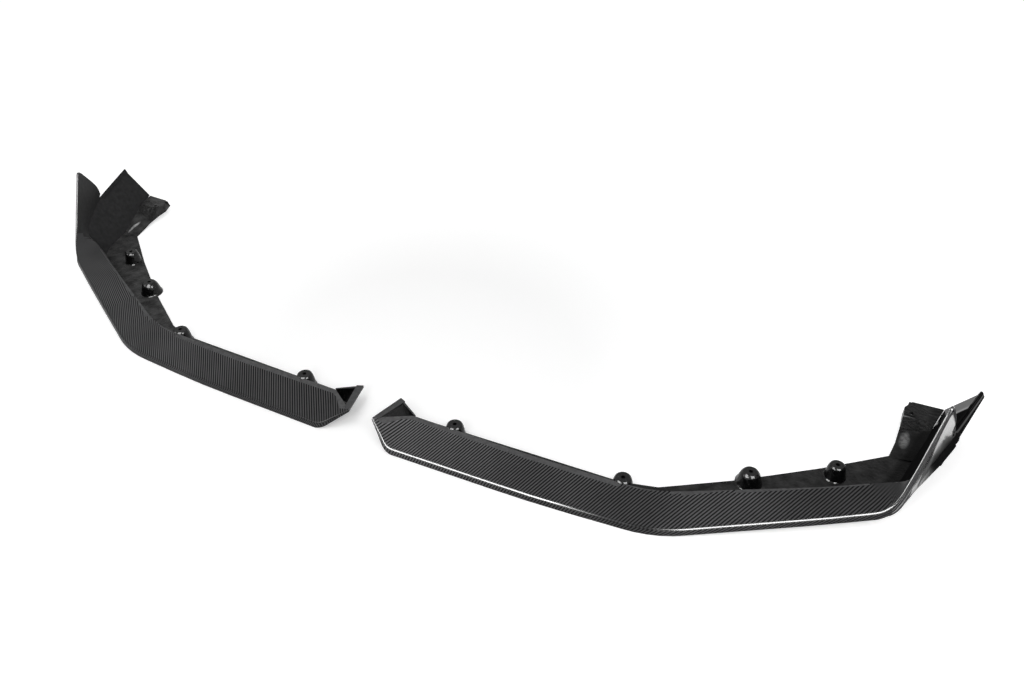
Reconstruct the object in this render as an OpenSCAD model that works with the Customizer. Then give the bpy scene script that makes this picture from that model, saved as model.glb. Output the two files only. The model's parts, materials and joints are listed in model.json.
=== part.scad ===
// Front splitter lip for a car, laid on the ground as a left and a right half.
// X runs across the car, Y runs rearwards, Z is up; the origin is on the ground
// under the middle of the part. Each half is one carbon laminate moulding.

/* [Overall] */
// Centre line to the rear top corner of the outer end
half_width = 920; // [912:1:932]
// Front edge to the rear edge of the brackets
depth = 470; // [462:1:480]
// Clear distance between the inner tips of the two halves
centre_gap = 46; // [30:1:56]

/* [Front edge] */
// Distance from the centre line to the inner end of the front face
nose_x = 66; // [60:1:72]
// Distance from the centre line to the bend of the front edge
bend_x = 517; // [500:1:530]
// How far back the bend lies
bend_y = 22.5; // [18:0.5:27]
// Distance from the centre line to the outer corner
corner_x = 829; // [822:1:834]
// Height of the front face
face_h = 10.5; // [8:0.5:13]
// How far the front face leans back
face_lean = 2.5; // [1.5:0.1:3.5]
// Radius of the ridge between front face and top face
ridge_r = 4.5; // [3:0.1:5]
// Height of the front face's top edge at the outer corner
corner_h = 31; // [26:0.5:34]

/* [Blade] */
// Height of the blade's rear edge on the inner run
rear_h = 28; // [25:0.5:31]
// Distance from the front edge to the blade's rear edge on the inner run
blade_d = 73; // [69:0.5:76]
// Width of the flat band along the rear edge
band_w = 9; // [6:0.5:11]
// Height of the step between the top face and the band
band_step = 0.9; // [0.6:0.1:1.4]

/* [Fin] */
// Height of the fin tip above the ground
fin_h = 176; // [160:1:188]
// Thickness of the fin at its top edge
fin_t = 4.2; // [3.4:0.1:4.8]
// Thickness of the end plate below the fin
plate_t = 3; // [2.5:0.1:4]

/* [Mounting flange] */
// Thickness of the mounting flange
flange_t = 3; // [2.5:0.1:3.5]
// How far the flange reaches behind the front edge on the inner run
flange_d = 102; // [100:0.5:106]
// Height of the boss tops
boss_h = 30; // [28:0.5:31]
// Radius of a boss at its top
boss_r = 13; // [12:0.1:14]
// Radius of a boss at its foot
boss_foot_r = 18; // [16.5:0.1:19]
// Radius of the bolt holes
bolt_r = 3.3; // [2.6:0.1:4]
// Thickness of the boss tops above the bolt head recess
boss_cap = 4; // [3:0.1:5]
// Height of the bracket's top face
bracket_h = 31; // [29:0.5:33]

/* [Hidden] */
$fn = 48;

recess_r = 7;
ring_r = 7.5;
ring_h = 1;
finger_t = 4.5;
finger_fall = 3.4;
bracket_t = 4;
wall_t = 3;
wall_z = 16;
overlap = 5;

function mix(a, b, t) = a + (b - a) * t;
function flat(p) = [p[0], p[1]];
function unit(v) = v / norm(v);

// Stations along a half, one vertex of every rail at each of them:
// 0 inner tip, 1 nose, 2 middle of the inner run, 3 bend, 4 outer run, 5 corner,
// 6 root of the fin, 7 fin tip, 8 its bulging rear edge, 9 the foot of that edge,
// 10 notch, 11 rear top corner.
last = 11;
tip_x = centre_gap / 2;
foot_h = 98;
front_h = 0.9 + face_h;

// Ridge: top edge of the front face, which climbs to become the fin's edge
ridge = [
    [tip_x, 33, 35],
    [nose_x, face_lean, front_h],
    [330, 8, front_h],
    [bend_x, bend_y, front_h],
    [746, 147.5, front_h + 12.6],
    [corner_x, 195, corner_h],
    [843.5, 237, mix(corner_h, fin_h, 0.45)],
    [861.3, 289, fin_h + 5],
    [879.2, 334.5, 121],
    [884.2, 339.5, foot_h - 2],
    [886, 347, 91],
    [half_width, depth - 21, 100]];

// Rear edge of the blade, then the line where fin and end plate meet
rear = [
    [tip_x + 8, 39, 34],
    [nose_x + 12, blade_d, rear_h],
    [310, blade_d, rear_h],
    [bend_x - 23, blade_d + 9, rear_h - 0.5],
    [719, 194.8, rear_h + 4],
    [806, 240, rear_h + 11],
    [845, 248, 52],
    [864.3, 289, 69],
    [881.5, 325, 81.5],
    [884.6, 337, 83],
    [885, 347, 80],
    [half_width - 5, depth - 18, 89]];

// Foot of the blade's rear wall, then the foot of the end plate
foot = [
    [tip_x + 10, 42, 31],
    [nose_x + 14, blade_d + 2, flange_t - 1],
    [310, blade_d + 2, flange_t - 1],
    [bend_x - 21, blade_d + 11, flange_t - 1],
    [721, 197.5, flange_t - 1],
    [812, 252, flange_t - 1],
    [826, 273, flange_t - 0.5],
    [836, 298, flange_t],
    [846, 340, flange_t + 0.6],
    [850, 355, flange_t + 3.5],
    [851, 358, flange_t + 4.5],
    [half_width - 38, depth - 3, 32]];

// Share of the stretch before and after each vertex that a soft bend takes
ease_in = [0, 0.22, 0.25, 0.24, 0.2, 0.28, 0.1, 0.09, 0.45, 0.25, 0.3, 0];
ease_out = [0, 0.045, 0.3, 0.17, 0.3, 0.5, 0.1, 0.2, 0.4, 0.3, 0.02, 0];
rear_in = [0, 0.04, 0.25, 0.24, 0.2, 0.4, 0.4, 0.2, 0.2, 0.2, 0.3, 0];
rear_out = [0, 0.012, 0.3, 0.17, 0.3, 0.4, 0.4, 0.2, 0.2, 0.3, 0.02, 0];

// Point of a rail at u: straight between vertices, curved through the soft bends
function along(rail, u, before = ease_in, after = ease_out) =
    let (i = min(max(round(u), 1), last - 1),
         p = before[i],
         q = after[i],
         t = (u - i + p) / (p + q))
    t > 0 && t < 1
        ? mix(mix(mix(rail[i], rail[i - 1], p), rail[i], t),
              mix(rail[i], mix(rail[i], rail[i + 1], q), t), t)
        : let (k = min(floor(u), last - 1)) mix(rail[k], rail[k + 1], u - k);

// Direction away from the part, seen from above
function outward(u) =
    let (v = flat(along(ridge, min(u + 0.01, last)) - along(ridge, max(u - 0.01, 0))),
         w = unit(v))
    [w[1], -w[0], 0];

// Distance outside the ridge and depth below it, for each line of the front face
face_foot = [
    [1, 3.4], [face_lean, face_h], [face_lean, face_h], [face_lean, face_h],
    [face_lean, face_h], [face_lean, face_h], [5.5, 21], [4, 15], [3, 7], [1.6, 4], [0.9, 1.2],
    [0.6, 0.5]];
crease = [
    [1.1, 3.9], [face_lean - 0.7, face_h + 0.6], [face_lean - 0.7, face_h + 0.6],
    [face_lean - 0.7, face_h + 0.6], [face_lean - 0.7, face_h + 0.6],
    [3.4, face_h + 0.6], [6.4, 49], [9.2, 100], [8, 39], [5, 11], [4.1, 3], [1.2, 1]];
lip = [
    [0.6, 4.6], [face_lean - 2.1, face_h + 0.9], [face_lean - 2.1, face_h + 0.9],
    [face_lean - 2.1, face_h + 0.9], [face_lean - 2.1, face_h + 0.9],
    [3, face_h + 1.8], [7.2, 52], [18.2, 108], [17, 45], [12.9, 18], [11, 10.5], [5.4, 8]];
hollow = [0, 0, 0, 0, 0, 0, 1.6, 3, 2, 0.4, 0.1, 0];

// Rounding of the ridge and of the fin's edge: two points outside it, two inside it
round_tip = [[0.4, 1.3], [0.25, 0.6], [-0.7, -0.2], [-1.6, -0.3]];
round_blade = ridge_r * [[0.27, 0.46], [0.17, 0.22], [-0.21, -0.155], [-0.47, -0.25]];
round_fin = [[fin_t - 1, 1.7], [fin_t - 1.5, 0.6], [-0.6, 0.3], [-1, 1]];
round_end = [[0.7, 1.3], [0.45, 0.5], [-1.5, 0.2], [-3, 0.6]];
rounding = [round_tip, round_blade, round_blade, round_blade, round_blade, round_blade,
            round_fin, round_fin, round_fin, round_fin, round_end, round_end];

// Underside next to the lip and at the end plate: solid blade first, then the plate alone
lip_under = [
    [-0.6, 5.2], [-3, face_h + 0.9], [-3, face_h + 0.9], [-3, face_h + 0.9],
    [-3, face_h + 0.9], [0, face_h + 3.5], [6, 56], [15.8, 111], [14.5, 48], [11, 21], [9.2, 13.5],
    [3.6, 11]];
plate_under = [
    [-3, 6.2], [-7, face_h + 0.8], [-7, face_h + 0.8], [-7, face_h + 0.8],
    [-7, face_h + 0.8], [-5, face_h + 4], [3, 61], [7.4, 115], [5.5, 52], [2.6, 26], [1.5, 18.5],
    [-1.6, 15]];
plate_foot_out = [1, 0, 0, 0, 0, 0, plate_t - 1, plate_t, plate_t, plate_t, plate_t, plate_t];
plate_foot_down = [3.6, 1, 1, 1, 1, 1, 2, 2.5, 3, 4, 4, 2.5];

// How far the middle of the top face sags below the straight line across it
sag = [0, 0, 0, 0, 0.3, 2.2, 3, 0, 0, 0, 0, 0];

function beside(table, u) =
    let (k = min(floor(u), last - 1), d = mix(table[k], table[k + 1], u - k))
    along(ridge, u) + outward(u) * d[0] - [0, 0, d[1]];
function between(list, u) =
    let (k = min(floor(u), last - 1)) mix(list[k], list[k + 1], u - k);

// Band along the rear edge: full width to the second boss, then a narrow rim
band_share = [0.5, 1, 1, 1, 0.3, 0.3, 0.2, 0.15, 0.15, 0.15, 0.15, 0.15];
step_share = [0.3, 1, 1, 1, 0.8, 0.6, 0.3, 0.2, 0.2, 0.2, 0.2, 0.2];
function band_at(u) =
    let (s = u > 2.72 && u < 3 ? 0.3 : between(band_share, u)) band_w * s;

// Cross-section at u, from the lip over the ridge to the rear edge and back below
function section(u) =
    let (top = along(ridge, u),
         out = outward(u),
         face = beside(face_foot, u),
         fold = beside(crease, u),
         back = along(rear, u, rear_in, rear_out),
         base = along(foot, u, rear_in, rear_out),
         bow = [for (r = between(rounding, u)) top + out * r[0] - [0, 0, r[1]]],
         toward = unit(bow[3] - back),
         band = back + toward * band_at(u),
         edge = band + [0, 0, band_step * between(step_share, u)] + toward * 0.3,
         under = base + out * between(plate_foot_out, u) - [0, 0, between(plate_foot_down, u)])
    [beside(lip, u),
     fold,
     mix(fold, face, 0.5) - out * between(hollow, u),
     face,
     bow[0],
     bow[1],
     top,
     bow[2],
     bow[3],
     mix(bow[3], edge, 0.5) + out * between(sag, u) * 0.4 - [0, 0, between(sag, u)],
     edge,
     band,
     back,
     base,
     under,
     beside(plate_under, u),
     beside(lip_under, u)];

RING = 17;
steps = [0, 0.4, 0.76, 0.8, 0.84, 0.88, 0.92, 0.96, 0.99, 1.012, 1.03, 1.06, 1.4, 1.75, 2, 2.3,
         2.5, 2.7, 2.74, 2.83, 2.92, 3.01, 3.1, 3.17, 3.5, 3.9, 4.1, 4.3, 4.6, 4.72, 4.82, 4.92,
         5.02, 5.12, 5.22, 5.32, 5.42, 5.5, 5.6, 5.75, 5.9, 6.1, 6.3, 6.55, 6.8, 6.91, 6.98, 7.05,
         7.12, 7.2, 7.5, 7.75, 7.95, 8.15, 8.4, 8.75, 9, 9.3, 10.02, 10.5, 11];

function ring_faces(count, n) = [
    for (i = [0 : count - 2])
        for (j = [0 : n - 1])
            let (k = (j + 1) % n)
            for (face = [[i * n + j, i * n + k, (i + 1) * n + k],
                         [i * n + j, (i + 1) * n + k, (i + 1) * n + j]])
                face];

// End cap: a fan over the head of the section and two triangles over its tail
function cap_faces(base) = [
    for (face = concat([for (j = [0 : 12]) [15, (j + 16) % RING, (j + 17) % RING]],
                       [[15, 12, 13], [15, 13, 14]]))
        [base + face[0], base + face[1], base + face[2]]];
function flipped(faces) = [for (f = faces) [f[2], f[1], f[0]]];

module shell() {
    count = len(steps);
    polyhedron(
        points = [for (u = steps) each section(u)],
        faces = concat(ring_faces(count, RING), flipped(cap_faces(0)), cap_faces((count - 1) * RING)),
        convexity = 8);
}

// Plate between four corners, thickened towards the side that back points to
module slab(corners, back) {
    polyhedron(points = concat(corners, [for (p = corners) p + back]),
               faces = flipped([[0, 3, 2], [0, 2, 1], [4, 5, 6], [4, 6, 7], [0, 1, 5], [0, 5, 4],
                                [1, 2, 6], [1, 6, 5], [2, 3, 7], [2, 7, 6], [3, 0, 4], [3, 4, 7]]));
}

// Flat flange behind the blade; it runs a little way in under the rear wall
front_steps = [for (u = steps) if (u > 0.98 && u < 8.8) u];
module flange() {
    rear_line = [
        [812, depth - 125],
        [718, 270],
        [602, 186],
        [bend_x - 23, flange_d + 16],
        [bend_x - 80, flange_d + 2],
        [nose_x + 19, flange_d - 7]];
    linear_extrude(flange_t)
        polygon(concat([for (u = front_steps) flat(along(foot, u, rear_in, rear_out)
                                                  + outward(u) * (u < 5 ? overlap : 2))],
                       [[849, depth - 118]], rear_line));
}

// Bosses: two against the blade's rear edge, two out on the flange
boss_at = [
    for (b = [[1.317, 10.2], [2.726, 10.4], [3.556, 45.2], [4.247, 56.5]])
        let (p = along(rear, b[0], rear_in, rear_out)) [p[0], p[1] + b[1]]];
boss_tops = [boss_h, boss_h, boss_h - 3, boss_h - 2];
boss_feet = [boss_foot_r, boss_foot_r, boss_foot_r + 2, boss_foot_r - 1.5];
top_radii = [boss_r, boss_r, boss_r - 0.5, boss_r - 1];

module boss_body(h, foot_r, top_r) {
    rotate_extrude()
        polygon([
            [0, 0.5],
            [foot_r + 1.5, 0.5],
            [foot_r + 1.5, flange_t],
            [foot_r, flange_t + 1.5],
            [mix(foot_r, top_r, 0.3), h * 0.5],
            [mix(foot_r, top_r, 0.6), h * 0.76],
            [top_r, h - 1.6],
            [top_r - 2, h],
            [0, h]]);
}

module boss_bore(h) {
    translate([0, 0, -1])
        cylinder(r = bolt_r, h = h + 2);
    translate([0, 0, -1])
        cylinder(r = recess_r, h = h - boss_cap + 1);
}

// Bracket behind the end plate: a ramp up from the flange and a level tab on top of it
front_y = min([for (u = steps) beside(face_foot, u)[1]]);
rear_y = front_y + depth;
tab_z = bracket_h - 0.5;
ramp_steps = [
    [[812, rear_y - 129, flange_t], [850.5, rear_y - 123, flange_t + 2]],
    [[818, rear_y - 92, flange_t + 4], [859.5, rear_y - 88, flange_t + 12]],
    [[819, rear_y - 74, flange_t + 9], [863.5, rear_y - 72, flange_t + 16]],
    [[820, rear_y - 58, flange_t + 16], [867, rear_y - 58, flange_t + 20.5]],
    [[820, rear_y - 46, tab_z], [870, rear_y - 46, tab_z]],
    [[820, rear_y - 38, tab_z], [872, rear_y - 38, tab_z]]];

module ramp() {
    rings = [for (s = ramp_steps) each [s[0], s[1], s[1] - [0, 0, flange_t], s[0] - [0, 0, flange_t]]];
    polyhedron(points = rings,
               faces = concat(flipped(ring_faces(len(ramp_steps), 4)),
                              [[0, 1, 2], [0, 2, 3]],
                              flipped([[20, 21, 22], [20, 22, 23]])));
}

// Tab with a raised ring around its hole, and the two walls that stand below it
hole_at = [832, rear_y - 37];
module bracket() {
    translate([0, 0, bracket_h - bracket_t])
        linear_extrude(bracket_t)
            polygon([[820, rear_y - 46], [820, rear_y - 24], [831, rear_y - 5],
                     [881, rear_y - 3], [874, rear_y - 30], [870, rear_y - 46]]);
    translate([hole_at[0], hole_at[1], bracket_h - bracket_t])
        cylinder(r = ring_r, h = bracket_t + ring_h);
    translate([820.3, rear_y, 0])
        rotate([90, 0, 90])
            linear_extrude(wall_t)
                polygon([[-92, flange_t + 1.5], [-92, flange_t + 3], [-58, flange_t + 14],
                         [-46, tab_z - 2], [-22, tab_z - 1], [-21, wall_z - 4], [-46, wall_z - 5]]);
    translate([826, rear_y, 0])
        rotate([90, 0, 90])
            linear_extrude(54)
                polygon([[-wall_t, wall_z], [0, wall_z - 1], [-5, tab_z - 1], [-5 - wall_t, tab_z - 1]]);
    slab([[820.3, rear_y - 24, tab_z - 0.7], [820.3, rear_y - 22, wall_z - 4],
          [826.5, rear_y, wall_z - 1], [831, rear_y - 5.4, tab_z - 0.7]], [2.6, -1.5, 0]);
}

// Finger that points rearwards from the inner tip, and the web below it
module finger() {
    translate([tip_x, 33, 35 - finger_t])
        rotate([-finger_fall, 0, 0])
            linear_extrude(finger_t)
                polygon([[0, 0], [15, 67], [26, 62], [11, 4]]);
}

module web() {
    top = [[tip_x + 8, 40, 32.5], [tip_x + 25, 94, 29], [nose_x + 16, blade_d + 5, flange_t - 1]];
    low = [for (p = top) p + [2.2, -1, -1.2]];
    polyhedron(points = concat(top, low),
               faces = flipped([[0, 1, 2], [5, 4, 3], [0, 3, 4], [0, 4, 1], [1, 4, 5], [1, 5, 2],
                                [2, 5, 3], [2, 3, 0]]));
}

// Wall that closes the pocket between finger, web and blade at its rear
module rim() {
    slab([[tip_x + 21, 93, 31], [nose_x + 13, blade_d + 1, rear_h],
          [nose_x + 14, blade_d + 3, flange_t - 1], [tip_x + 23, 92, 27]], [1.4, 2.2, 0]);
}

// Undercut below the rear corner of the fin, seen in the plane of the fin
module notch() {
    translate([884, 329, 0])
        rotate([90, 0, 68])
            translate([0, 0, -9])
                linear_extrude(24)
                    polygon([[1, 85.5], [10.5, 96], [18, 101], [24, 92], [19, 89.4]]);
}

module half() {
    translate([0, -(front_y + rear_y) / 2, 0])
        difference() {
            union() {
                shell();
                flange();
                for (i = [0 : 3])
                    translate([boss_at[i][0], boss_at[i][1], 0])
                        boss_body(boss_tops[i], boss_feet[i], top_radii[i]);
                ramp();
                bracket();
                finger();
                web();
                rim();
            }
            notch();
            for (i = [0 : 3])
                translate([boss_at[i][0], boss_at[i][1], 0])
                    boss_bore(boss_tops[i]);
            translate([hole_at[0], hole_at[1], -1])
                cylinder(r = bolt_r, h = bracket_h + 5);
        }
}

module left_half() {
    color("#3c3c3e")
        half();
}

module right_half() {
    color("#3c3c3e")
        mirror([1, 0, 0])
            half();
}

left_half();
right_half();
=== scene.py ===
import json
import math

import bmesh
import bpy
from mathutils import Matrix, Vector


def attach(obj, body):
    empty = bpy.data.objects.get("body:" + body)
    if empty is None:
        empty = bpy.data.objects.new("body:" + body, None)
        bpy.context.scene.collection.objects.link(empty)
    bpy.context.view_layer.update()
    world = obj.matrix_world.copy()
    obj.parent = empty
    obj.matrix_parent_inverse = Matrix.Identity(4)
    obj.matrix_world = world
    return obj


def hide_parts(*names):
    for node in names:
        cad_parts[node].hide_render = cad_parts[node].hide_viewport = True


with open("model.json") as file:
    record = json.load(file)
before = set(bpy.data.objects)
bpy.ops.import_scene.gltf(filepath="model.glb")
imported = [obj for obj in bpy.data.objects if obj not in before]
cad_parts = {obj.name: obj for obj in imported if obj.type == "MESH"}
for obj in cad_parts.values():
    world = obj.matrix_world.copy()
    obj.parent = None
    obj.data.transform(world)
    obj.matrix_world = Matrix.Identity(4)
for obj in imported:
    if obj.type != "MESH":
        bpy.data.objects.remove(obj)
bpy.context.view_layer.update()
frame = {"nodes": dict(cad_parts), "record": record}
scene = bpy.context.scene
scene.view_settings.view_transform = "Standard"

# Rails of the left half in millimetres: x from the centre line, y from the front, z from the floor
RIDGE = [(23, 33, 35), (66, 2.5, 11.4), (330, 8, 11.4), (517, 22.5, 11.4), (746, 147.5, 24),
         (829, 195, 31), (843.5, 237, 96.3), (861.3, 289, 181), (879.2, 334.5, 121),
         (884.2, 339.5, 96), (886, 347, 91), (920, 449, 100)]
REAR = [(31, 39, 34), (78, 73, 28), (310, 73, 28), (494, 82, 27.5), (719, 194.8, 32),
        (806, 240, 39), (845, 248, 52), (864.3, 289, 69), (881.5, 325, 81.5), (884.6, 337, 83),
        (885, 347, 80), (915, 452, 89)]
# Shares of a station over which each bend begins before it and ends after it
RIDGE_EASE = [(0, 0), (0.22, 0.045), (0.25, 0.3), (0.24, 0.17), (0.2, 0.3), (0.28, 0.5),
              (0.1, 0.1), (0.09, 0.2), (0.45, 0.4), (0.25, 0.3), (0.3, 0.02), (0, 0)]
REAR_EASE = [(0, 0), (0.04, 0.012), (0.25, 0.3), (0.24, 0.17), (0.2, 0.3), (0.4, 0.4),
             (0.4, 0.4), (0.2, 0.2), (0.2, 0.2), (0.2, 0.3), (0.3, 0.02), (0, 0)]
# Depth of the woven strip and of the crease below the ridge at each station, in millimetres
STRIP = [3.4, 10.5, 10.5, 10.5, 10.5, 10.5, 21, 15, 7, 4, 1.2, 0.5]
CREASE = [3.9, 11.1, 11.1, 11.1, 11.1, 11.1, 49, 100, 39, 11, 3, 1]
# From the rails' front line to the middle of the part, in metres
FRONT = 0.235242
STEPS_PER_STATION = 60


def metres(p):
    """Point of a rail in the frame's own place."""
    return Vector((p[0] / 1000, p[1] / 1000 - FRONT, p[2] / 1000))


def curve_at(rail, ease, u):
    """Point of a rail at station u, with its bends rounded."""
    last = len(rail) - 1
    i = min(max(round(u), 1), last - 1)
    before, after = ease[i]
    here = metres(rail[i])
    t = (u - i + before) / (before + after)
    if 0 < t < 1:
        a = here.lerp(metres(rail[i - 1]), before)
        c = here.lerp(metres(rail[i + 1]), after)
        return a.lerp(here, t).lerp(here.lerp(c, t), t)
    k = min(int(u), last - 1)
    return metres(rail[k]).lerp(metres(rail[k + 1]), u - k)


STEPS = [i / STEPS_PER_STATION for i in range((len(RIDGE) - 1) * STEPS_PER_STATION + 1)]
RIDGE_LINE = [curve_at(RIDGE, RIDGE_EASE, u) for u in STEPS]
REAR_LINE = [curve_at(REAR, REAR_EASE, u) for u in STEPS]


def nearest(line, p):
    """Station and point of the line closest to p, seen from above."""
    k = min(range(len(line)), key=lambda i: (line[i].x - p.x) ** 2 + (line[i].y - p.y) ** 2)
    return STEPS[k], line[k]


def distance(line, p):
    return min((q - p).length for q in line)


def between(table, u):
    """Value at u in a table of (place, value) pairs, level before the first and after the last."""
    for (a, low), (b, high) in zip(table, table[1:]):
        if u <= b:
            return low + (high - low) * max(0.0, (u - a) / (b - a))
    return table[-1][1]


def depth_at(table, u):
    """Depth below the ridge at station u, in millimetres."""
    return between(list(enumerate(table)), u)


def shader(name, **sockets):
    mat = bpy.data.materials.new(name)
    mat.use_nodes = True
    surface = mat.node_tree.nodes["Principled BSDF"]
    for socket, value in sockets.items():
        surface.inputs[socket.replace("_", " ")].default_value = value
    return mat, mat.node_tree, surface


def feed(tree, socket, value):
    """Puts a number on a socket or links an output to it."""
    if isinstance(value, (int, float)):
        socket.default_value = value
    else:
        tree.links.new(value, socket)


def math_node(tree, operation, a, b=None):
    node = tree.nodes.new("ShaderNodeMath")
    node.operation = operation
    feed(tree, node.inputs[0], a)
    if b is not None:
        feed(tree, node.inputs[1], b)
    return node.outputs[0]


def ramp_node(tree, value, *stops):
    """Grey ramp with a trace of blue."""
    node = tree.nodes.new("ShaderNodeValToRGB")
    points = node.color_ramp.elements
    while len(points) < len(stops):
        points.new(0.5)
    for point, (place, grey) in zip(points, stops):
        point.position = place
        point.color = (grey, grey, grey * 1.02, 1)
    tree.links.new(value, node.inputs[0])
    return node.outputs[0]


def noise_node(tree, coords, scale, detail=3.0):
    node = tree.nodes.new("ShaderNodeTexNoise")
    node.inputs["Scale"].default_value = scale
    node.inputs["Detail"].default_value = detail
    tree.links.new(coords, node.inputs["Vector"])
    return node.outputs["Fac"]


def bump_node(tree, height, strength, depth, normal=None):
    node = tree.nodes.new("ShaderNodeBump")
    node.inputs["Strength"].default_value = strength
    node.inputs["Distance"].default_value = depth
    tree.links.new(height, node.inputs["Height"])
    if normal is not None:
        tree.links.new(normal, node.inputs["Normal"])
    return node.outputs[0]


def mix_node(tree, blend_type, factor, a, b):
    node = tree.nodes.new("ShaderNodeMix")
    node.data_type = "RGBA"
    node.blend_type = blend_type
    feed(tree, node.inputs["Factor"], factor)
    tree.links.new(a, node.inputs["A"])
    tree.links.new(b, node.inputs["B"])
    return node.outputs["Result"]


def value_of(tree, attribute):
    node = tree.nodes.new("ShaderNodeAttribute")
    node.attribute_name = attribute
    return node.outputs["Fac"]


def object_place(tree):
    return tree.nodes.new("ShaderNodeTexCoord").outputs["Object"]


def axes_of(tree, vector):
    node = tree.nodes.new("ShaderNodeSeparateXYZ")
    tree.links.new(vector, node.inputs[0])
    return node.outputs


def weave_rows(tree):
    """Rises from 0 to 1 and falls back across each row of the cloth."""
    row_spacing = 0.00505
    uneven = 0.06
    cloth = tree.nodes.new("ShaderNodeUVMap")
    cloth.uv_map = "cloth"
    across = axes_of(tree, cloth.outputs[0])["X"]
    drift = math_node(tree, "MULTIPLY", noise_node(tree, object_place(tree), 9, 1), uneven)
    rows = math_node(tree, "ADD", drift, math_node(tree, "DIVIDE", across, row_spacing))
    twice = math_node(tree, "MULTIPLY", math_node(tree, "FRACT", rows), 2.0)
    return math_node(tree, "ABSOLUTE", math_node(tree, "SUBTRACT", twice, 1.0))


def woven_carbon(name, dark, light, coat, coat_roughness=0.05, coat_stops=None, fading=True,
                 specular=0.04):
    """Twill under a clear coat; where the cloth fades out, its mean grey stays."""
    mat, tree, surface = shader(name, Roughness=0.35, Specular_IOR_Level=specular,
                                Coat_Weight=coat, Coat_Roughness=coat_roughness)
    mean = (dark + light) / 2
    rows = weave_rows(tree)
    threads = ramp_node(tree, rows, (0.22, dark), (0.78, light))
    faded = ramp_node(tree, rows, (0.0, mean * 0.96), (1.0, mean * 1.04))
    seen = value_of(tree, "weave_fade") if fading else 1.0
    weave = mix_node(tree, "MIX", seen, faded, threads)
    clouds = ramp_node(tree, noise_node(tree, object_place(tree), 14), (0.3, 0.9), (0.7, 1.1))
    # The tone measure is painted light and shade along the blade; the clouds are the cloth's own
    # uneven tone
    tone_and_painted_light = math_node(tree, "MULTIPLY", clouds, value_of(tree, "tone_and_painted_light"))
    tree.links.new(mix_node(tree, "MULTIPLY", 1.0, weave, tone_and_painted_light), surface.inputs["Base Color"])
    if coat_stops:
        tree.links.new(ramp_node(tree, value_of(tree, "run"), *coat_stops),
                       surface.inputs["Coat Weight"])
    return mat


def grained(tree, surface, scale, grey, low, high, depth):
    """Fine grain in the colour and in the bump of a closed surface."""
    grain = noise_node(tree, object_place(tree), scale, 4)
    tree.links.new(ramp_node(tree, grain, (0.3, grey * low), (0.7, grey * high)),
                   surface.inputs["Base Color"])
    tree.links.new(bump_node(tree, grain, 0.15, depth), surface.inputs["Normal"])


def plain_carbon(name, grey, roughness, coat):
    """Closed resin surface whose threads hardly show."""
    mat, tree, surface = shader(name, Roughness=roughness, Specular_IOR_Level=0.12,
                                Coat_Weight=coat, Coat_Roughness=0.05)
    grained(tree, surface, 160, grey, 0.75, 1.3, 0.0003)
    return mat


def rimmed(name, grey, measure, stops, coat_ior=1.5):
    """Dull black whose gloss changes along one of the shape's own measures."""
    mat, tree, surface = shader(name, Roughness=0.3, Specular_IOR_Level=0.0,
                                Coat_Roughness=0.12, Coat_IOR=coat_ior)
    grained(tree, surface, 110, grey, 0.85, 1.15, 0.0004)
    tree.links.new(ramp_node(tree, value_of(tree, measure), *stops),
                   surface.inputs["Coat Weight"])
    return mat


# How far down from strip to crease the fin's gloss stays full, as a share
FULL_GLOSS = 0.6


def fin_hollow(name, grey):
    """Black gloss on the outer side of the fin, duller towards the fold."""
    mat, tree, surface = shader(name, Base_Color=(grey, grey, grey, 1), Roughness=0.4,
                                Specular_IOR_Level=0.1, Coat_Roughness=0.09, Coat_IOR=2.4)
    gloss = ramp_node(tree, value_of(tree, "fall"), (0.0, 0.5), (0.08, 1), (FULL_GLOSS, 1),
                      (0.74, 0.12), (0.9, 0.16), (0.97, 0.5))
    tree.links.new(gloss, surface.inputs["Coat Weight"])
    waves = noise_node(tree, object_place(tree), 45, 2)
    tree.links.new(bump_node(tree, waves, 0.2, 0.001), surface.inputs["Normal"])
    return mat


def painted_shade_past(tree, x, y, line):
    """Painted shade: darkens a centimetre past a slanting line, given by its x where y is 0,
    standing in for the fin's shade and the dark plate mirrored in the flange.
    """
    slant = 0.295
    beside = math_node(tree, "SUBTRACT", x, math_node(tree, "MULTIPLY", y, slant))
    centimetres = math_node(tree, "MULTIPLY", math_node(tree, "SUBTRACT", beside, line), 100)
    return ramp_node(tree, centimetres, (0.0, 1), (1.0, 0.12))


def painted_glint_oval(tree, x, y, folds, painted_glint):
    """Painted highlight: pale oval where the ramp's edge caught the light, broken up by the folds.
    """
    cx, cy, rx, ry, pale = painted_glint
    squares = []
    for at, centre, radius in ((x, cx, rx), (y, cy, ry)):
        off = math_node(tree, "SUBTRACT", at, centre)
        share = math_node(tree, "MULTIPLY", off, 1 / radius)
        squares.append(math_node(tree, "POWER", share, 2.0))
    far = math_node(tree, "ADD", *squares)
    oval = math_node(tree, "MULTIPLY", ramp_node(tree, far, (0.1, 1), (1.0, 0)),
                     ramp_node(tree, folds, (0.35, 0.35), (0.65, 1)))
    return math_node(tree, "MULTIPLY", oval, pale)


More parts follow.
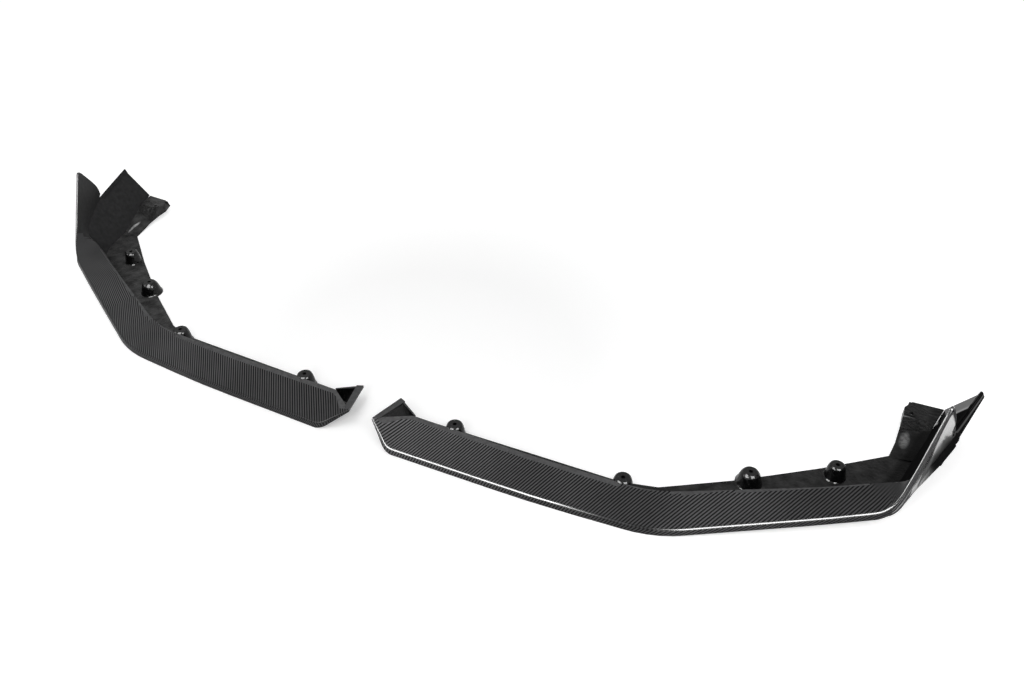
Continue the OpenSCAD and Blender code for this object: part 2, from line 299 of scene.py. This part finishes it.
def bag_side(name, grey, wrinkle, roughness, coat, specular, painted_shade_line=None, painted_glint=None):
    """Inner side of the laminate: resin that took the folds of the vacuum bag."""
    fold_depth = 0.005
    mat, tree, surface = shader(name, Roughness=roughness, Specular_IOR_Level=specular,
                                Coat_Weight=coat, Coat_Roughness=0.07)
    place = object_place(tree)
    tall = tree.nodes.new("ShaderNodeMapping")
    tall.inputs["Scale"].default_value = (1, 1, 0.3)
    tree.links.new(place, tall.inputs["Vector"])
    folds = noise_node(tree, tall.outputs[0], 190, 4)
    lumps = noise_node(tree, place, 55, 3)
    colour = ramp_node(tree, lumps, (0.32, grey * 0.45), (0.7, grey * 1.6))
    axes = axes_of(tree, place)
    x, y = math_node(tree, "ABSOLUTE", axes["X"]), axes["Y"]
    # Painted shade and painted reflection beside the plate, on one half only
    if painted_shade_line:
        colour = math_node(tree, "MULTIPLY", colour, painted_shade_past(tree, x, y, painted_shade_line))
    # Painted highlight: a pale oval on the ramp where light glinted
    if painted_glint:
        colour = math_node(tree, "ADD", colour, painted_glint_oval(tree, x, y, folds, painted_glint))
    tree.links.new(colour, surface.inputs["Base Color"])
    fine = bump_node(tree, folds, wrinkle, fold_depth)
    coarse = bump_node(tree, lumps, wrinkle * 0.8, fold_depth, fine)
    tree.links.new(coarse, surface.inputs["Normal"])
    return mat


# Stations at which one finish gives way to the next
WIDE_BAND_END = 2.72
BLADE_END = 5.1
TOP_WEAVE_END = 5.9
CREASE_START = 6.2
FLARE_END = 6.75
RIDGE_END = 8.2
FIN_END = 8.4
HOLLOW_END = 9.6
# Widths, heights and places of the finishes, in metres
BOSS_REACH = 0.022
BOSS_ONLY_ABOVE = 0.0295
UNDERSIDE = 0.0005
TIP_END = 0.09
FINGER_FRONT = -0.205
FINGER_FOOT = 0.02
FINGER_TOP = 0.031
RIDGE_ROUND = 0.0036
LIP_FOOT = 0.0032
TOP_ABOVE = 0.025
WIDE_BAND = 0.009
THIN_BAND = 0.0027
FLARE_START = 0.815
PLATE_START = 0.853
PLATE_START_AHEAD = 0.813
BRACKET_FRONT = 0.17
BRACKET_END = 0.856
# Directions seen from above: from the tip towards its finger, and out from the fin
TIPWARD = Vector((-0.6, 0.8))
FINWARD = Vector((0.945, -0.326))
BOSSES = [Vector(mount["pos_m"]) for mount in frame["record"]["mounts"]
          if mount["name"].startswith("left_boss")]


def on_boss(q, v, edge):
    """Whether a face belongs to a boss and not to the blade under it."""
    if v <= 1 or q.z <= UNDERSIDE:
        return False
    if min((q - boss).xy.length for boss in BOSSES) >= BOSS_REACH:
        return False
    return q.z > BOSS_ONLY_ABOVE or (q - edge).y > 0 or q.z > edge.z + 0.0004


def tip_finish(q, out, edge):
    """Finish of a face on the web or finger behind the inner tip, or None elsewhere; the recess
    there takes the near-black boss resin as painted shade.
    """
    if q.x >= TIP_END:
        return None
    behind = (q - edge).xy.dot(TIPWARD)
    if behind > 0.001 and q.y > FINGER_FRONT and q.z > FINGER_FOOT:
        # Near-black boss resin on the finger's underside and the web: painted shade in the recess
        return "finger" if out.z > 0.95 or out.x < -0.3 or q.z > FINGER_TOP else "boss"
    return "boss" if behind > 0.0005 else None


def blade_finish(q, out, v, edge):
    """Finish of a face on the blade, from the inner tip to the outer corner."""
    if (q - edge).y > 0.0004 or q.z < LIP_FOOT or out.z < -0.3:
        return "inside"
    width = WIDE_BAND if v < WIDE_BAND_END else THIN_BAND
    if out.z > 0.4 and (q - edge).xy.length < width + 0.0004:
        return "band"
    return "weave"


def end_finish(q, out, u, top, edge):
    """Finish of a face past the outer corner: fin, end plate, bracket and their insides."""
    behind = (q - edge).y
    down = top.z - q.z
    facing = out.xy.dot(FINWARD)
    if u < TOP_WEAVE_END and out.z > 0.15 and behind < 0.0003 and q.z > TOP_ABOVE:
        return "weave"
    if facing > 0.05 and down < depth_at(STRIP, u) / 1000 + 0.0002:
        return "strip"
    above_crease = down < depth_at(CREASE, u) / 1000 + 0.001 or u < CREASE_START
    if facing > 0.05 and above_crease and u < HOLLOW_END and q.z > 0.004:
        return "hollow"
    if q.x > FLARE_START and out.z > -0.2 and down > 0:
        if facing > 0 and u < FLARE_END and q.z > 0.006:
            return "flare"
        if facing > -0.2 and (q - edge).xy.dot(FINWARD) > 0.001:
            return "lip"
    if q.z > edge.z - 0.0003 and facing < 0.3:
        if u < TOP_WEAVE_END and out.z > 0.3:
            return "weave"
        return "fin_side" if u < FIN_END else "plate"
    plate_start = PLATE_START_AHEAD if q.y < BRACKET_FRONT else PLATE_START
    if q.x > plate_start and q.z > 0.0035 and out.z < 0.93 and behind < 0.2:
        return "plate"
    if q.y > BRACKET_FRONT and q.x < BRACKET_END and q.z > UNDERSIDE:
        return "bracket"
    return "inside"


def finish_of(p, n, side):
    """Finish of the face whose centre is p and normal n, on the left half or its mirror."""
    q = Vector((abs(p.x), p.y, p.z))
    out = Vector((n.x * side, n.y, n.z))
    u, top = nearest(RIDGE_LINE, q)
    v, edge = nearest(REAR_LINE, q)
    if on_boss(q, v, edge):
        return "boss"
    at_tip = tip_finish(q, out, edge)
    if at_tip:
        return at_tip
    if u < RIDGE_END and distance(RIDGE_LINE, q) < RIDGE_ROUND:
        return "ridge"
    if u < BLADE_END:
        return blade_finish(q, out, v, edge)
    return end_finish(q, out, u, top, edge)


FINISHES = ["weave", "ridge", "band", "strip", "hollow", "flare", "lip", "plate", "fin_side",
            "inside", "bracket", "boss", "finger"]
MEASURES = ["weave_fade", "fall", "run", "below", "tone_and_painted_light"]


def measure(bm, half):
    """Gives each vertex its place along and below the ridge, for the materials to read."""
    fade, fall, run, below, tone_and_painted_light = [bm.verts.layers.float.new(name) for name in MEASURES]
    for vert in bm.verts:
        u, top = nearest(RIDGE_LINE, Vector((abs(vert.co.x), vert.co.y, vert.co.z)))
        down = top.z - vert.co.z
        vert[fade] = min(1.0, max(0.0, (half["fade_end"] - u) / half["fade_over"]))
        strip, crease = depth_at(STRIP, u), depth_at(CREASE, u)
        vert[fall] = (down * 1000 - strip) / (crease - strip)
        if u < CREASE_START:
            vert[fall] = min(vert[fall], FULL_GLOSS)
        vert[run] = u / len(RIDGE)
        vert[below] = max(0.0, down) * 100
        # Painted light and shade: the weave brighter or darker by station, as light fell along the
        # half
        vert[tone_and_painted_light] = between(half["tones_and_painted_light"], u)


def lay_cloth(bm, cloth, half):
    """Gives each face its finish, and the cloth its lie: leaning rows, unrolled down the sides."""
    side = half["side"]
    flat_above, unleaning_line = 0.75, 0.15
    strip_row, strip_slant = 0.008, 0.13
    below = bm.verts.layers.float["below"]
    for face in bm.faces:
        finish = finish_of(face.calc_center_median(), face.normal, side)
        face.material_index = FINISHES.index(finish)
        face.smooth = True
        tilt = Vector((0, 0)) if face.normal.z > flat_above else face.normal.xy
        for loop in face.loops:
            q = loop.vert.co
            x, y = q.x - tilt.x * q.z, q.y - tilt.y * q.z
            lean = math.radians(between(half["leans"], abs(x)))
            loop[cloth].uv = (x - side * math.tan(lean) * (y + unleaning_line), y)
            if finish == "strip":
                loop[cloth].uv = (loop.vert[below] * strip_row + q.z * strip_slant, y)


def sharpen(bm, plain_angle=34, ridge_angle=120):
    """Keeps folds sharp; the ridge's own rounding shades smoothly."""
    ridge = FINISHES.index("ridge")
    for edge in bm.edges:
        if len(edge.link_faces) == 2:
            a, b = edge.link_faces
            limit = ridge_angle if ridge in (a.material_index, b.material_index) else plain_angle
            if a.normal.angle(b.normal, 0) > math.radians(limit):
                edge.smooth = False


def dress(half):
    """Copy of a half whose faces carry their finishes and the lie of the cloth."""
    node_name = half["name"] + "_half"
    mesh = frame["nodes"][node_name].data.copy()
    mesh.materials.clear()
    piece = bpy.data.objects.new(node_name + "_laminate", mesh)
    scene.collection.objects.link(piece)
    bm = bmesh.new()
    bm.from_mesh(mesh)
    bmesh.ops.remove_doubles(bm, verts=bm.verts, dist=1e-5)
    bmesh.ops.dissolve_degenerate(bm, edges=bm.edges, dist=1e-6)
    cloth = bm.loops.layers.uv.new("cloth")
    measure(bm, half)
    lay_cloth(bm, cloth, half)
    sharpen(bm)
    bm.to_mesh(mesh)
    bm.free()
    finishes = finishes_for(half)
    for finish in FINISHES:
        mesh.materials.append(finishes[finish])
    flats = piece.modifiers.new("flats_stay_flat", "WEIGHTED_NORMAL")
    flats.keep_sharp = True
    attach(piece, "root")
    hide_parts(node_name)


def finishes_for(half):
    """Materials of a half; those of its own follow the photo's light and cloth on that half."""
    name, dark, light = half["name"], half["dark"], half["light"]
    resin, black, painted_glint = half["resin"], half["black"], half["painted_glint"]
    return {
        **SHARED,
        "weave": woven_carbon("woven_carbon_" + name, dark, light, coat=0.03, specular=0.02),
        # The fin's strip has light threads brighter than the blade's and its gloss off: painted
        # sheen
        "strip": woven_carbon("strip_carbon_" + name, dark=0.003, light=0.3, coat=0.0,
                              fading=False, specular=0.0),
        "ridge": woven_carbon("ridge_resin_" + name, dark, light * 0.6, coat=1.0,
                              coat_roughness=0.12, coat_stops=half["ridge_gloss"]),
        "plate": rimmed("plate_resin_" + name, black, "run", half["plate_gloss"]),
        "fin_side": plain_carbon("fin_side_" + name, black * 0.4, roughness=0.45, coat=0.0),
        "inside": bag_side("bag_side_resin_" + name, resin, wrinkle=0.35, roughness=0.35,
                           coat=0.0, specular=0.06, painted_shade_line=half["painted_shade_line"], painted_glint=painted_glint),
        "bracket": bag_side("bracket_resin_" + name, black * 0.7, wrinkle=1.0, roughness=0.25,
                            coat=0.12, specular=0.04, painted_glint=painted_glint)}


SHARED = {
    "band": plain_carbon("band_carbon", 0.055, roughness=0.45, coat=0.05),
    "hollow": fin_hollow("fin_hollow_carbon", 0.01),
    "flare": rimmed("flare_carbon", 0.01, "run", [(0.0, 1.0), (0.523, 1.0), (0.562, 0.0)],
                    coat_ior=2.6),
    "lip": rimmed("lip_carbon", 0.008, "below",
                  [(0.0, 0.0), (0.25, 0.0), (0.32, 0.8), (0.46, 0.8), (0.56, 0.02)]),
    "finger": plain_carbon("finger_carbon", 0.042, roughness=0.5, coat=0.05),
    "boss": bag_side("boss_resin", 0.003, wrinkle=1.0, roughness=0.25, coat=0.4, specular=0.02)}

# Leans are in degrees by x; tones by station are painted light and shade on the weave; spot is
# centre, radii and brightness of an oval of painted highlight
# Both halves are one laminate: their different greys of weave, resin and black are painted light
# and shade
LEFT = {
    "name": "left", "side": 1,
    "leans": [(0.2, 23.5), (0.5, 28), (0.78, 27.5)],
    "tones_and_painted_light": [(0, 1.08), (1.2, 1.07), (1.8, 0.74), (2.9, 0.63), (3.35, 0.94), (4, 0.64),
              (5.6, 0.58)],
    "fade_end": 5.6, "fade_over": 0.4,
    "dark": 0.002, "light": 0.118, "resin": 0.02, "black": 0.008,
    "plate_gloss": [(0.0, 0.0), (0.8895, 0.0), (0.8905, 1.0), (0.895, 0.5)],
    "ridge_gloss": [(0.0, 1.0), (0.19, 1.0), (0.215, 0.05), (0.245, 0.05), (0.25, 1.0)],
    "painted_shade_line": 0.794, "painted_glint": (0.8305, 0.1490, 0.009, 0.020, 0.2)}
RIGHT = {
    "name": "right", "side": -1,
    "leans": [(0.2, 35.5), (0.5, 40), (0.78, 60)],
    "tones_and_painted_light": [(0, 0.6), (1.6, 0.64), (2.2, 0.9), (11, 0.9)],
    "fade_end": 4.4, "fade_over": 0.9,
    "dark": 0.002, "light": 0.114, "resin": 0.042, "black": 0.034,
    "plate_gloss": [(0.0, 0.0), (1.0, 0.0)],
    "ridge_gloss": [(0.0, 0.05), (0.45, 0.05), (0.48, 1.0)],
    "painted_shade_line": None, "painted_glint": (0.8395, 0.1310, 0.004, 0.022, 0.55)}

dress(LEFT)
dress(RIGHT)


def seen_rays(tree):
    """1 for camera, glossy and transmitted rays, 0 for the rays that light the object."""
    path = tree.nodes.new("ShaderNodeLightPath")
    mirrored = math_node(tree, "MAXIMUM", path.outputs["Is Glossy Ray"],
                         path.outputs["Is Transmission Ray"])
    return math_node(tree, "MAXIMUM", path.outputs["Is Camera Ray"], mirrored)


def lay_floor():
    """Pale floor that looks white and still takes the object's shadow."""
    bpy.ops.mesh.primitive_plane_add(size=30)
    floor = bpy.context.object
    floor.name = "floor"
    mat, tree, surface = shader("floor_white", Base_Color=(0.8, 0.8, 0.8, 1), Roughness=0.9,
                                Specular_IOR_Level=0.0)
    away = tree.nodes.new("ShaderNodeVectorMath")
    away.operation = "LENGTH"
    tree.links.new(object_place(tree), away.inputs[0])
    strength = ramp_node(tree, away.outputs["Value"], (0.3, 0.3), (0.85, 0.62))
    glow = tree.nodes.new("ShaderNodeEmission")
    tree.links.new(math_node(tree, "MULTIPLY", seen_rays(tree), strength),
                   glow.inputs["Strength"])
    both = tree.nodes.new("ShaderNodeAddShader")
    tree.links.new(surface.outputs[0], both.inputs[0])
    tree.links.new(glow.outputs[0], both.inputs[1])
    tree.links.new(both.outputs[0], tree.nodes["Material Output"].inputs["Surface"])
    floor.data.materials.append(mat)


def light_world():
    """World that looks white and lights the object at half strength."""
    world = bpy.data.worlds.new("studio")
    scene.world = world
    world.use_nodes = True
    tree = world.node_tree
    back = tree.nodes["Background"]
    back.inputs["Color"].default_value = (1, 1, 1, 1)
    tree.links.new(math_node(tree, "MAXIMUM", seen_rays(tree), 0.5), back.inputs["Strength"])


def softbox(name, place, aim, width, height, power, sheen=False):
    """Area lamp; one that is only sheen shows in glossy surfaces and lights nothing."""
    light = bpy.data.lights.new(name, "AREA")
    light.shape = "RECTANGLE"
    light.size = width
    light.size_y = height
    light.energy = power
    lamp = bpy.data.objects.new(name, light)
    lamp.visible_diffuse = not sheen
    lamp.visible_glossy = sheen
    lamp.visible_camera = False
    lamp.location = place
    lamp.rotation_euler = (Vector(place) - Vector(aim)).to_track_quat("Z", "Y").to_euler()
    scene.collection.objects.link(lamp)


def set_camera():
    """Camera at the photograph's angle, found together with the shape."""
    turn, rise = math.radians(25.418), math.radians(37.707)
    aim = Vector((0.124232, 0.126481, 0))
    reach = 1.64468
    focal_pixels, image_width, sensor = 856.5, 1024, 36
    data = bpy.data.cameras.new("photo_camera")
    camera = bpy.data.objects.new("photo_camera", data)
    scene.collection.objects.link(camera)
    scene.camera = camera
    away = Vector((math.sin(turn) * math.cos(rise), -math.cos(turn) * math.cos(rise),
                   math.sin(rise)))
    camera.location = aim + away * reach
    camera.rotation_euler = away.to_track_quat("Z", "Y").to_euler()
    data.sensor_width = sensor
    data.lens = focal_pixels / image_width * sensor


lay_floor()
light_world()
softbox("inner_strip", (-0.2, -0.65, 1.35), (0.1, -0.1, 0), 0.96, 0.2, 5.5)
softbox("outer_strip", (1.35, -0.65, 1.35), (0.8, 0, 0), 0.8, 0.2, 4.5)
softbox("front_strip", (0.2, -1.42, 1.1), (0.1, 0, 0), 0.3, 0.6, 6.5)
softbox("inner_sheen", (-0.27, -0.95, 0.95), (-0.27, -0.2, 0), 0.9, 1.15, 80, True)
softbox("outer_sheen", (1.35, -0.68, 0.96), (0.66, -0.15, 0.02), 0.85, 1.0, 67, True)
softbox("left_fin_sheen", (0.3, -1.05, 0.65), (0.85, 0.03, 0.1), 0.5, 0.35, 9, True)
softbox("right_fin_sheen", (-1.5, -0.9, 0.65), (-0.85, 0.03, 0.1), 0.7, 0.5, 6, True)
set_camera()
